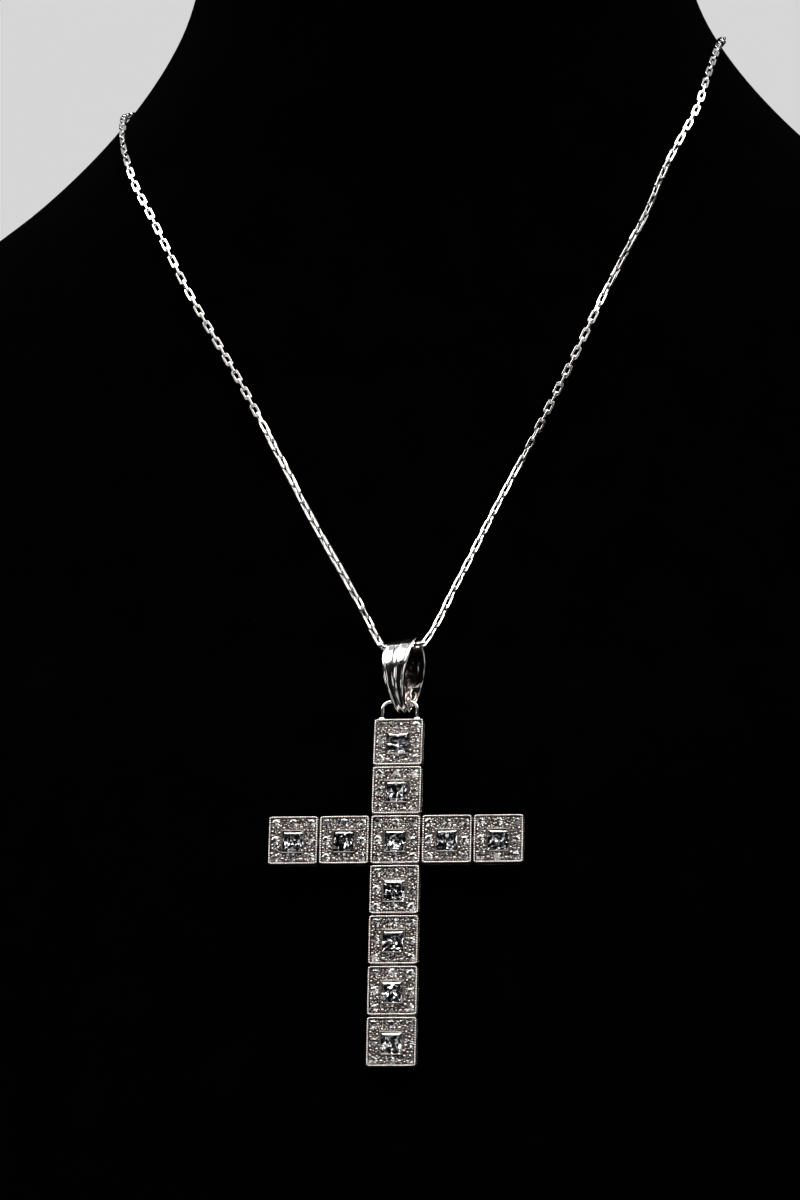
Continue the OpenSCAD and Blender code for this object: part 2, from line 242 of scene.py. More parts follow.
def gem_material(name, tint_a, tint_b, scale):
    m, nt, b = new_material(name)
    co = nt.nodes.new("ShaderNodeTexCoord")
    n = node(nt, "ShaderNodeTexNoise", Scale=scale, Detail=2.0)
    nt.links.new(co.outputs["Object"], n.inputs["Vector"])
    r = ramp(nt, n.outputs["Fac"], [(0.35, tint_a), (0.65, tint_b)])
    nt.links.new(r.outputs["Color"], b.inputs["Base Color"])
    b.inputs["Roughness"].default_value = 0.0
    b.inputs["IOR"].default_value = 2.4
    b.inputs["Transmission Weight"].default_value = 1.0
    return m


def velvet_material():
    m, nt, b = new_material("black_velvet")
    co = nt.nodes.new("ShaderNodeTexCoord")
    nap = node(nt, "ShaderNodeTexNoise", Scale=90.0, Detail=5.0, Roughness=0.65)
    nt.links.new(co.outputs["Object"], nap.inputs["Vector"])
    tone = ramp(nt, nap.outputs["Fac"], [(0.35, (0.00012, 0.00012, 0.00013)), (0.7, (0.00034, 0.00034, 0.00037))])
    # single pale lint specks
    vor = node(nt, "ShaderNodeTexVoronoi", Scale=170.0, Randomness=1.0)
    nt.links.new(co.outputs["Object"], vor.inputs["Vector"])
    speck = ramp(nt, vor.outputs["Distance"], [(0.0, (1, 1, 1)), (0.035, (0, 0, 0))])
    few = node(nt, "ShaderNodeTexNoise", Scale=60.0, Detail=1.0)
    nt.links.new(co.outputs["Object"], few.inputs["Vector"])
    keep = ramp(nt, few.outputs["Fac"], [(0.56, (0, 0, 0)), (0.62, (1, 1, 1))])
    mul = nt.nodes.new("ShaderNodeMath")
    mul.operation = "MULTIPLY"
    nt.links.new(speck.outputs["Color"], mul.inputs[0])
    nt.links.new(keep.outputs["Color"], mul.inputs[1])
    mix = nt.nodes.new("ShaderNodeMix")
    mix.data_type = "RGBA"
    nt.links.new(mul.outputs["Value"], mix.inputs["Factor"])
    nt.links.new(tone.outputs["Color"], mix.inputs["A"])
    mix.inputs["B"].default_value = (0.005, 0.005, 0.0053, 1)
    nt.links.new(mix.outputs["Result"], b.inputs["Base Color"])
    b.inputs["Roughness"].default_value = 1.0
    b.inputs["Specular IOR Level"].default_value = 0.005
    b.inputs["Sheen Weight"].default_value = 0.0009
    b.inputs["Sheen Roughness"].default_value = 0.45
    b.inputs["Sheen Tint"].default_value = (0.8, 0.82, 0.9, 1)
    fine = node(nt, "ShaderNodeTexNoise", Scale=2600.0, Detail=3.0)
    nt.links.new(co.outputs["Object"], fine.inputs["Vector"])
    bm = nt.nodes.new("ShaderNodeBump")
    bm.inputs["Strength"].default_value = 0.5
    bm.inputs["Distance"].default_value = 0.0002
    nt.links.new(fine.outputs["Fac"], bm.inputs["Height"])
    nt.links.new(bm.outputs["Normal"], b.inputs["Normal"])
    return m


M_TILE = white_metal("tile_white_gold", (0.87, 0.86, 0.825), (0.68, 0.575, 0.555), 0.05, 0.10, 1500.0, 0.25, pits=True)
M_BAIL = white_metal("bail_white_gold", (0.90, 0.89, 0.885), (0.82, 0.81, 0.80), 0.085, 0.05, 500.0, 0.02, scratch=6.0)
# painted shade: the bail's inside is coloured dark brownish in place of its dim, shaded reflections
M_INSIDE_SHADE = white_metal("bail_inside_matt_painted_shade", (0.46, 0.405, 0.375), (0.14, 0.11, 0.095), 0.11, 0.12, 800.0, 0.5)
M_CHAIN = white_metal("chain_white_gold", (0.92, 0.91, 0.90), (0.82, 0.81, 0.80), 0.09, 0.08, 700.0, 0.10)
M_LINK = white_metal("link_white_gold", (0.62, 0.60, 0.58), (0.42, 0.40, 0.385), 0.25, 0.2, 900.0, 0.2)
M_GEM = gem_material("square_stone_glassy", (0.97, 0.985, 1.0), (0.90, 0.94, 1.0), 300.0)
M_SIDE = gem_material("round_stone_glassy", (1.0, 0.985, 0.975), (0.95, 0.935, 0.93), 260.0)
M_VELVET = velvet_material()

# ------------------------------------------------------------------ neck bust
BUST = np.array([  # height, half width, front y, back y, roundness
    [0, 75, -66, 66, 2.3], [25, 80, -62, 68, 2.3], [55, 86.5, -54.1, 70, 2.3], [84, 93, -46, 72, 2.3],
    [102, 98, -39.4, 73, 2.3], [115, 101, -32.6, 74, 2.25], [135, 104.5, -25.2, 75.5, 2.2],
    [150, 105.5, -20.2, 76.5, 2.15], [165, 104, -16, 77.5, 2.1], [176, 98.7, -13.2, 78, 2.05],
    [186, 88.2, -11.5, 78.5, 2], [195, 75.7, -10.5, 79, 2], [210, 59.2, -10.5, 79, 2],
    [225, 48.2, -11, 78.5, 2], [240, 43.2, -11, 78, 2], [262, 40, -10, 77.5, 2]], float)


def row_slopes(t):
    z = t[:, 0]
    d = (t[1:] - t[:-1]) / (z[1:] - z[:-1])[:, None]
    h = z[1:] - z[:-1]
    mid = (d[:-1] * h[1:, None] + d[1:] * h[:-1, None]) / (h[:-1] + h[1:])[:, None]
    return np.concatenate([d[:1], mid, d[-1:]])


def smooth_rows(table, z):
    """Rows of a table read smoothly at heights z."""
    z = np.atleast_1d(np.asarray(z, float))
    slope = row_slopes(table)
    k = np.clip(np.searchsorted(table[:, 0], z, side="right") - 1, 0, len(table) - 2)
    h = (table[k + 1, 0] - table[k, 0])[:, None]
    t = (z[:, None] - table[k, 0][:, None]) / h
    return ((2 * t**3 - 3 * t**2 + 1) * table[k] + (t**3 - 2 * t**2 + t) * h * slope[k]
            + (3 * t**2 - 2 * t**3) * table[k + 1] + (t**3 - t**2) * h * slope[k + 1])


def section(z):
    return smooth_rows(BUST, z)


def skin(z, a, grow=0.0):
    """Points at heights z and angles a in degrees, 0 in front and +90 at +X."""
    z = np.atleast_1d(np.asarray(z, float))
    q = section(z)
    a = np.radians(np.atleast_1d(np.asarray(a, float)))
    s, c = np.sin(a), np.cos(a)
    e = 2 / q[:, 4]
    half = (q[:, 3] - q[:, 2]) / 2
    x = (q[:, 1] + grow) * np.sign(s) * np.abs(s)**e
    y = (q[:, 2] + q[:, 3]) / 2 - (half + grow) * np.sign(c) * np.abs(c)**e
    return np.column_stack([x, y, z + 0 * x])


def off_skin(a, z, gap):
    u = skin(z, a + 0.1)[0] - skin(z, a - 0.1)[0]
    v = skin(z + 0.1, a)[0] - skin(z - 0.1, a)[0]
    n = np.cross(u, v)
    return skin(z, a)[0] + gap * n / np.linalg.norm(n)


def make_bust():
    sh = Shell()
    n = 224
    ang = 360.0 * np.arange(n) / n
    # the turned-under edge, the shoulders and neck, and the soft round top
    levels = [(0.0, -1.0), (0.15, -0.55), (0.6, -0.15), (1.5, 0.0)]
    levels += [(z, 0.0) for z in np.arange(3.0, 254.01, 1.75)]
    levels += [(254 + 8.2 * math.sin(rad(a)), -9 * (1 - math.cos(rad(a)))) for a in range(6, 90, 6)]
    rings = [skin(np.full(n, z), ang, g) for z, g in levels]
    v = np.concatenate(rings + [np.array([[0.0, 0, 0]]), np.array([[0, 33.75, 262.35]])])
    m = len(levels)
    f = grid_faces(m, n)
    f += [(m * n, j2, j) for j, j2 in ((j, (j + 1) % n) for j in range(n))]
    f += [(m * n + 1, (m - 1) * n + j, (m - 1) * n + (j + 1) % n) for j in range(n)]
    sh.add(v, f, True)
    return sh.build("velvet_neck_bust", M_VELVET)


# ------------------------------------------------------------------ bail, hung on the chain
HANG = np.array([0.5, -38.3407, 114.851])
YAW, ROLL, LEANB = 27.0, 1.5, 12.0
DROP, BLEN, BHALF = 1.38, 12.4, 3.1
BAIL = np.array([[0, 2.8, 0.6], [2.8, 2.75, 0.6], [5.3, 2.3, 0.6], [7.9, 1.75, 0.55], [10.4, 1.25, 0.45], [12.4, 1.1, 0.5]])


def in_bail(p):
    """From the bail's own frame to the main one."""
    p = np.atleast_2d(np.asarray(p, float))
    a = rad(-ROLL)
    p = np.column_stack([p[:, 0] * math.cos(a) + p[:, 2] * math.sin(a), p[:, 1], p[:, 2] * math.cos(a) - p[:, 0] * math.sin(a)])
    a = rad(-YAW)
    p = np.column_stack([p[:, 0] * math.cos(a) - p[:, 1] * math.sin(a), p[:, 0] * math.sin(a) + p[:, 1] * math.cos(a), p[:, 2]])
    a = rad(-LEANB)
    p = np.column_stack([p[:, 0], p[:, 1] * math.cos(a) - p[:, 2] * math.sin(a), p[:, 1] * math.sin(a) + p[:, 2] * math.cos(a)])
    return p + HANG


def bail_edge(a):
    a = np.radians(a)
    s, c = np.sin(a), np.cos(a)
    e = np.where(c > 0, 1.25, 1.3)
    return np.column_stack([-BHALF * np.sign(s) * np.abs(s)**e, DROP - BLEN / 2 * (1 - c)])


def make_bail():
    sh = Shell()
    n = 240
    ang = 360.0 * (np.arange(n) + 0.5) / n
    p = bail_edge(ang)
    t = bail_edge(ang + 0.6) - bail_edge(ang - 0.6)
    t /= np.linalg.norm(t, axis=1)[:, None]
    out = np.column_stack([t[:, 1], -t[:, 0]])
    down = DROP - p[:, 1]
    w, d = smooth_rows(BAIL, down)[:, 1:].T
    # a half-round rim along each edge and a half-round rib along the middle, with hollow flutes between
    rib, rim_u, rise = 0.18, 0.27, 0.15
    k = 0.5 - 0.5 * np.cos(np.pi * np.arange(11) / 10)
    half = np.concatenate([rib * np.sin(np.pi / 2 * np.arange(7) / 6), np.linspace(rib, 1 - rim_u, 9)[1:-1], 1 - rim_u + rim_u * k])
    us = np.concatenate([-half[::-1], half[1:]])

    def relief(u):
        u = np.abs(u)
        mid = rise * (1 - np.sqrt(np.clip(1 - (u / rib)**2, 0, 1)))
        t = np.clip((u - rib) / (1 - rim_u - rib), 0, 1)
        flute = rise + 0.025 * (1 - (2 * t - 1)**2)
        q = np.clip((u - (1 - rim_u)) / rim_u, 0, 1) * 2 - 1
        edge = rise * (1 - np.sqrt(np.clip(1 - q**2, 0, 1)))
        return np.where(u <= rib, mid, np.where(u < 1 - rim_u, flute, edge))

    rim = relief(us)
    inner = np.concatenate([[1.0], np.linspace(0.97, -0.97, 33), [-1.0]])
    wave = np.random.default_rng(3)
    hump = [(wave.uniform(-1, 1), wave.uniform(0, 2 * math.pi), wave.uniform(0.25, 0.5), wave.uniform(0.03, 0.11) * wave.choice([-1, 1])) for _ in range(190)]
    cols = len(us) + len(inner)
    v = np.zeros((n, cols, 3))
    fade = np.clip(0.04 + down / 7.0, 0, 1) * np.clip((12.7 - down) / 1.8, 0.15, 1)      # the ribs run out over both folds
    for k, (u, h) in enumerate(zip(us, rim)):
        q = p - out * (h * fade)[:, None]
        v[:, k] = np.column_stack([u * w, q[:, 0], q[:, 1]])
    for k, u in enumerate(inner):
        # the inside is left rough from the making, with shallow hammer marks
        dent = np.zeros(n)
        for hu, ha, hr, hd in hump:
            along = (np.radians(ang) - ha + math.pi) % (2 * math.pi) - math.pi
            dent += hd * np.exp(-(((u - hu) * w)**2 + (along * 4.2)**2) / hr**2)
        dent = np.clip(dent, -0.14 + 0.21 * np.exp(-(down / 3.4)**2), 0.25)      # it clears the chain under the top fold
        q = p - out * (d * (1 - 0.12 * (abs(u) > 0.98)) - dent * (abs(u) < 0.98))[:, None]
        v[:, len(us) + k] = np.column_stack([u * w, q[:, 0], q[:, 1]])
    faces = grid_faces(n, cols, True, True)
    # the inside faces take the painted-shade material
    sh.add(in_bail(v.reshape(-1, 3)), [f[::-1] for f in faces], True, 0.0, [int(f[0] % cols >= len(us) + 1 and f[0] % cols < cols - 2) for f in faces])
    return sh.build("fluted_bail", [M_BAIL, M_INSIDE_SHADE])


# ------------------------------------------------------------------ chain
LEFT = [(-24, 177.5, .8), (-36, 191, .8), (-43, 196, .8), (-50, 200.5, .8), (-60, 205.5, .8), (-69, 209, .85),
        (-83, 211.5, .9), (-97, 213, .9), (-112, 214.5, .85), (-127, 216, .85), (-143, 218, .85),
        (-158, 219.5, .8), (-168, 220.5, .8)]
RIGHT = [(20.5, 178.5, .8), (28.5, 189.5, .8), (33, 194.5, .8), (40, 200.5, .8), (48, 206, .8), (60, 213.5, .85),
         (70, 218, .95), (88, 222, .95), (100, 223, .9), (114, 223.5, .85), (129, 223.5, .85), (145, 223, .85),
         (158, 222, .8), (168, 221.5, .8)]
BEND_LEFT = [(-1.6, 0, -.05), (-3, 0, -.03), (-4, 0, .25), (-4.5, .05, .95)]
BEND_RIGHT = [(1.6, 0, -.05), (3, 0, -.05), (4.1, .1, .2), (4.7, .3, 1)]
LEG_LEFT = [(-8.5, -32.9, 124), (-16.4, -27.4, 137), (-22.9, -22.6, 148.5), (-29.9, -17.4, 160.5)]
LEG_RIGHT = [(8.6, -36, 124), (14.4, -30.7, 136), (20.9, -24.8, 149), (27, -18.6, 162)]
CLASP = off_skin(180, 221, 0.65)


def route():
    pts = [CLASP + np.array([-3.0, 0.1, 0])]
    pts += [off_skin(*r) for r in LEFT[::-1]]
    pts += [np.array(p, float) for p in LEG_LEFT[::-1]]
    pts += [in_bail(p)[0] for p in BEND_LEFT[::-1]]
    k = len(pts)
    pts += [in_bail(p)[0] for p in BEND_RIGHT]
    pts += [np.array(p, float) for p in LEG_RIGHT]
    pts += [off_skin(*r) for r in RIGHT]
    pts += [CLASP + np.array([3.0, 0.1, 0])]
    return np.array(pts), k


def smooth_curve(p, steps=14):
    """The same curve as the CAD tube's, more finely stepped."""
    n = len(p)
    h = np.linalg.norm(p[1:] - p[:-1], axis=1)
    d = (p[1:] - p[:-1]) / h[:, None]
    m = np.zeros_like(p)
    m[0], m[-1] = d[0], d[-1]
    for i in range(1, n - 1):
        m[i] = (d[i - 1] * h[i] + d[i] * h[i - 1]) / (h[i - 1] + h[i])
    out = []
    for i in range(n - 1):
        for t in np.arange(steps) / steps:
            out.append((2 * t**3 - 3 * t**2 + 1) * p[i] + (t**3 - 2 * t**2 + t) * h[i] * m[i]
                       + (3 * t**2 - 2 * t**3) * p[i + 1] + (t**3 - t**2) * h[i] * m[i + 1])
    out.append(p[-1])
    return np.array(out)


PTS, _k = route()
CURVE = smooth_curve(PTS)
LENGTH = np.concatenate([[0], np.cumsum(np.linalg.norm(CURVE[1:] - CURVE[:-1], axis=1))])
_mid = (_k - 0.5) * 14
AT_BAIL = float(np.interp(_mid, np.arange(len(LENGTH)), LENGTH))

LINK_L, LINK_W, WIRE = 2.70, 1.32, 0.42
# how far the links are turned from facing the viewer (or, behind, from lying flat on the neck),
# by distance from the bail: negative is the wearer's right strand
TWIST = [(-225, 40), (-130, 30), (-100, 12), (-80, 8), (-62, 4), (-54, 6), (-51, 28), (-48, 44), (0, 44),
         (8, 38), (36, 34), (42, 62), (48, 86), (66, 94), (72, 118), (77, 137), (102, 139), (120, 132), (225, 140)]


def one_link():
    """A rounded rectangular link with flat polished faces, along X and flat in XY. Returns points, normals and faces."""
    cl, cw, r = LINK_L - WIRE, LINK_W - WIRE, 0.26
    path = []
    for q, (sx, sy) in enumerate([(1, 1), (-1, 1), (-1, -1), (1, -1)]):
        cx, cy = sx * (cl / 2 - r), sy * (cw / 2 - r)
        for k in range(6):
            a = math.pi / 2 * (q + k / 5)
            path.append((cx + r * math.cos(a), cy + r * math.sin(a), math.cos(a), math.sin(a)))
    path = np.array(path)
    s, b = WIRE / 2, WIRE / 2 - 0.10
    sec = [(s, -b, 1, 0), (s, b, 1, 0), (b, s, 0, 1), (-b, s, 0, 1), (-s, b, -1, 0), (-s, -b, -1, 0), (-b, -s, 0, -1), (b, -s, 0, -1)]
    v, nn = [], []
    for x, y, ox, oy in path:
        for o, z, no, nz in sec:
            v.append((x + ox * o, y + oy * o, z))
            nn.append((ox * no, oy * no, nz))
    return np.array(v), np.array(nn), grid_faces(len(path), 8, True, True)


def make_chain(name, s0, s1, first):
    """Links along the route from arc length s0 to s1, each turned a quarter from the last."""
    lv, ln, lf = one_link()
    pitch = LINK_L - 2 * WIRE
    count = int(round((s1 - s0 - LINK_L) / pitch)) + 1
    verts, norms, faces = [], [], []
    rng = np.random.default_rng(7 + first)
    for i in range(count):
        s = s0 + LINK_L / 2 + (s1 - s0 - LINK_L) * i / (count - 1)
        c = np.array([np.interp(s, LENGTH, CURVE[:, k]) for k in range(3)])
        a = np.array([np.interp(s - 0.9, LENGTH, CURVE[:, k]) for k in range(3)])
        b = np.array([np.interp(s + 0.9, LENGTH, CURVE[:, k]) for k in range(3)])
        c = (a + b) / 2 * 0.5 + c * 0.5
        t = (b - a) / np.linalg.norm(b - a)
        out = np.array([c[0], c[1] - 31, 0])
        out /= np.linalg.norm(out)
        w = min(max((abs(s - AT_BAIL) - 96) / 30, 0), 1)
        out = out * w + np.array([0.139, -0.990, 0.0]) * (1 - w)
        out /= np.linalg.norm(out)
        u = out - t * (out @ t)
        u /= np.linalg.norm(u)
        side = np.cross(t, u)
        turn = np.interp(s - AT_BAIL, [r[0] for r in TWIST], [r[1] for r in TWIST]) + 90 * ((i + first) % 2) + rng.uniform(-5, 5)
        ct, st = math.cos(rad(turn)), math.sin(rad(turn))
        R = np.column_stack([t, ct * side + st * u, -st * side + ct * u])
        verts.append(lv @ R.T + c)
        norms.append(ln @ R.T)
        faces.extend([tuple(x + i * len(lv) for x in f) for f in lf])
    v, nn = np.concatenate(verts), np.concatenate(norms)
    me = bpy.data.meshes.new(name)
    me.from_pydata((v * MM).tolist(), [], faces)
    me.polygons.foreach_set("use_smooth", [True] * len(faces))
    me.materials.append(M_CHAIN)
    me.update()
    me.normals_split_custom_set_from_vertices(nn.tolist())
    ob = bpy.data.objects.new(name, me)
    scene.collection.objects.link(ob)
    return ob, count


# ------------------------------------------------------------------ clasp at the nape
def make_clasp():
    sh = Shell()
    c = CLASP
    n = 64

    def ring(cx, cz, r, wr, squash=1.0, a0=0.0, a1=360.0, closed=True):
        k = n if closed else max(8, int(n * (a1 - a0) / 360))
        ang = np.radians(a0 + (a1 - a0) * np.arange(k) / (k if closed else k - 1))
        pts = np.column_stack([cx + r * np.cos(ang), np.zeros(k), cz + r * np.sin(ang)])
        wire(sh, pts + c, wr, 14, closed, up=(0, 1, 0))

    ring(0, 0, 2.4, 0.42)                      # the ring's body
    ring(0, 0, 2.4, 0.47, a0=150, a1=392, closed=False)   # its sleeve, which hides the spring
    # thumb knob on the bolt
    a = rad(35)
    base = c + np.array([2.62 * math.cos(a), 0, 2.62 * math.sin(a)])
    tip = c + np.array([3.38 * math.cos(a), 0, 3.38 * math.sin(a)])
    wire(sh, [base, base + (tip - base) * 0.55, base + (tip - base) * 0.7, base + (tip - base) * 0.9, tip],
         [0.16, 0.17, 0.34, 0.34, 0.2], 12)
    # soldered loops that take the last chain links
    for sx in (-1, 1):
        ang = np.linspace(0, 2 * math.pi, 24, endpoint=False)
        pts = np.column_stack([sx * (3.32 + 0.52 * np.cos(ang)), np.zeros(24), 0.52 * np.sin(ang)])
        wire(sh, pts + c, 0.17, 10, True)
    return sh.build("spring_ring_clasp", M_CHAIN)


# ------------------------------------------------------------------ tiles
TW, TH, TT, TR = 8.1, 8.0, 2.6, 0.5
RIM, FIELD, WALL = 0.35, 0.3, 0.8
LOW, FRAME = 0.25, 1.93      # the square frame's drop below the middle, and its half side
LEAN = [22, 18.5, 16.5, 16, 15.5, 15, 15]
STEP, PITCH = (TH + 0.25) / 2, TW + 0.3


def up(a):
    return np.array([0, math.sin(rad(a)), math.cos(rad(a))])


CENTRE = {2: np.array([0, -49.0, 84.0])}
for _i in (1, 0):
    CENTRE[_i] = CENTRE[_i + 1] + STEP * (up(LEAN[_i + 1]) + up(LEAN[_i]))
for _i in range(3, 7):
    CENTRE[_i] = CENTRE[_i - 1] - STEP * (up(LEAN[_i - 1]) + up(LEAN[_i]))
PLACES = {f"{i + 1}": (CENTRE[i], LEAN[i]) for i in range(7)}
for _name, _k2 in (("left_outer", -2), ("left_inner", -1), ("right_inner", 1), ("right_outer", 2)):
    PLACES[_name] = (CENTRE[2] + np.array([_k2 * PITCH, 0, 0]), LEAN[2])

# side stones: x and z of the centre, radius
ROUNDS = [(-2.93, 2.88, 0.74), (-0.05, 2.90, 0.74), (2.93, 2.80, 0.74), (-2.93, 0.02, 0.74),
          (2.93, -0.20, 0.74), (-2.93, -2.88, 0.74), (-0.12, -2.90, 0.74), (2.92, -2.88, 0.74)]
# raised grains: x and z as fractions of the tile from its top left, radius in mm, stretch along x
GRAINS = [
    (.21, .085, .15, 1.2), (.31, .09, .14, 1.3), (.39, .08, .15, 1.0), (.60, .085, .14, 1.0), (.69, .085, .14, 1.4), (.80, .085, .15, 1.3),
    (.09, .235, .17, 1.3), (.19, .235, .16, 1.1), (.245, .20, .16, 1.1), (.31, .24, .21, 1.1), (.405, .20, .16, 1.0), (.565, .215, .17, 1.2),
    (.66, .23, .27, 1.25), (.77, .19, .17, 1.0), (.80, .30, .18, 1.1), (.91, .285, .19, 1.2), (.08, .31, .19, 1.2), (.22, .355, .21, 1.0),
    (.08, .40, .17, 1.3), (.20, .43, .18, 1.0), (.21, .52, .17, 1.0), (.93, .36, .16, 1.1), (.87, .40, .19, 1.2), (.80, .47, .19, 1.0),
    (.92, .455, .18, 1.0), (.78, .57, .16, 1.0), (.08, .59, .16, 1.3), (.08, .665, .19, 1.2), (.21, .64, .21, 1.2), (.08, .77, .19, 1.4),
    (.22, .785, .20, 1.2), (.33, .765, .15, 1.1), (.41, .795, .17, 1.1), (.51, .79, .16, 1.6), (.64, .76, .18, 1.0), (.755, .68, .20, 1.1),
    (.84, .715, .18, 1.1), (.905, .71, .18, 1.2), (.885, .785, .18, 1.4), (.765, .785, .25, 1.1), (.21, .89, .18, 1.1), (.305, .885, .26, 1.3),
    (.37, .91, .17, 1.2), (.60, .90, .17, 1.0), (.67, .895, .27, 1.3), (.77, .90, .18, 1.1), (.155, .68, .15, 1.0), (.845, .645, .14, 1.0)]
PITS = [(.31, .79, .16), (.64, .80, .20), (.36, .13, .20), (.70, .13, .22), (.15, .23, .14), (.14, .31, .16), (.85, .31, .17), (.93, .31, .14),
        (.22, .68, .16), (.76, .72, .15), (.27, .13, .15), (.78, .13, .15), (.24, .90, .12), (.56, .90, .14)]


def frac(fx, fz):
    return (fx - 0.5) * TW, (0.5 - fz) * TH


def panel(outline, holes, square, spacing, rng, jitter=0.3):
    """Triangulated flat panel in XZ with round holes (x, z, r) and a square hole of that half side, LOW below the middle."""
    pts, edges = [], []

    def loop(ps):
        k = len(pts)
        pts.extend([tuple(p) for p in ps])
        edges.extend([(k + i, k + (i + 1) % len(ps)) for i in range(len(ps))])

    loop(outline)
    for x, z, r in holes:
        a = 2 * math.pi * np.arange(24) / 24
        loop(np.column_stack([x + r * np.cos(a), z + r * np.sin(a)]))
    n = max(3, int(2 * square / spacing))
    t = np.linspace(-square, square, n + 1)[:-1]
    loop(np.concatenate([np.column_stack([t, np.full(n, -square)]), np.column_stack([np.full(n, square), t]),
                         np.column_stack([-t, np.full(n, square)]), np.column_stack([np.full(n, -square), -t])]) - np.array([0, LOW]))
    lo, hi = outline.min(0), outline.max(0)
    w, h = hi - lo
    rc = 0.3
    gx, gz = np.meshgrid(np.arange(lo[0] + spacing * .7, hi[0], spacing), np.arange(lo[1] + spacing * .7, hi[1], spacing))
    g = np.column_stack([gx.ravel(), gz.ravel()])
    g += rng.uniform(-jitter, jitter, g.shape) * spacing

    def clear(p, gap):
        q = np.abs(p - (lo + hi) / 2) - (np.array([w, h]) / 2 - rc)
        d = np.linalg.norm(np.maximum(q, 0), axis=1) + np.minimum(q.max(1), 0) - rc
        ok = d < -gap
        ok &= np.abs(p + np.array([0, LOW])).max(1) > square + gap
        for x, z, r in holes:
            ok &= np.hypot(p[:, 0] - x, p[:, 1] - z) > r + gap
        return ok

    g = g[clear(g, spacing * 0.45)]
    pts.extend([tuple(p) for p in g])
    res = geometry.delaunay_2d_cdt([Vector(p) for p in pts], edges, [], 0, 1e-6, False)
    v = np.array([tuple(p) for p in res[0]])
    f = np.array([tuple(t) for t in res[2]])
    mid = v[f].mean(1)
    keep = clear(mid, -1e-4 if spacing < 0.3 else -1e-3)
    return v, f[keep]


def carve(p, grains, pits):
    """Depth of the set field at points p, and its painted shade: darker over the sunken field, more in the rim groove,
    round the grains' feet and in the pits.
    """
    x, z = p[:, 0], p[:, 1]
    # grooves along the rim and along the square frame
    e = np.maximum(np.abs(x) - (TW / 2 - RIM), np.abs(z) - (TH / 2 - RIM))
    groove = 0.10 * np.exp(-(e / 0.08)**2)
    c = np.maximum(np.abs(x), np.abs(z + LOW)) - FRAME
    groove -= 0.10 * np.exp(-(c / 0.12)**2)
    y = FIELD + groove
    # painted shade: the sunken field is darkened, more in the rim groove
    recess_shade = 0.78 + 0.2 * np.exp(-(e / 0.08)**2)
    near = np.full(len(p), 9.0)
    for gx, gz, r, s in grains:
        near = np.minimum(near, np.hypot((x - gx) / s, z - gz) / r)
    y = y + 0.10 * np.exp(-((near - 1.35) / 0.35)**2) - 0.10 * np.exp(-(near / 0.9)**2)
    # painted shade in the hollow round each grain's foot, less under the grain itself
    recess_shade = recess_shade + 0.30 * np.exp(-((near - 1.35) / 0.3)**2) - 0.3 * np.exp(-(near / 0.9)**2)
    for fx, fz, r in pits:
        q = np.hypot(x - fx, z - fz) / r
        y = y + 0.22 * np.exp(-q**2)
        # painted shade deep in each pit
        recess_shade = recess_shade + 0.9 * np.exp(-q**2)
    for sx, sz, r in ROUNDS:
        q = np.hypot(x - sx, z - sz) - r
        y = y - 0.05 * np.exp(-(q / 0.10)**2)
    y = y + 0.018 * np.sin(17 * x + 5 * z) * np.sin(13 * z - 4 * x)
    return y, np.clip(recess_shade, 0, 1)


def fine_grains(rng, grains):
    """Small grains packed into what the stones, the frame and the large grains leave free."""
    out = []
    for _ in range(1500):
        x, z = rng.uniform(-TW / 2 + RIM, TW / 2 - RIM), rng.uniform(-TH / 2 + RIM, TH / 2 - RIM)
        r = rng.uniform(0.10, 0.165)
        if max(abs(x) - (TW / 2 - RIM), abs(z) - (TH / 2 - RIM)) > -r * 0.8 or max(abs(x), abs(z + LOW)) < FRAME + r * 0.7:
            continue
        if any(math.hypot(x - sx, z - sz) < sr + r * 0.55 for sx, sz, sr in ROUNDS):
            continue
        if any(math.hypot(x - gx, z - gz) < (gr * 1.15 + r) * 1.02 for gx, gz, gr, _s in grains + out):
            continue
        out.append((x, z, r, rng.uniform(1.0, 1.35)))
    return out


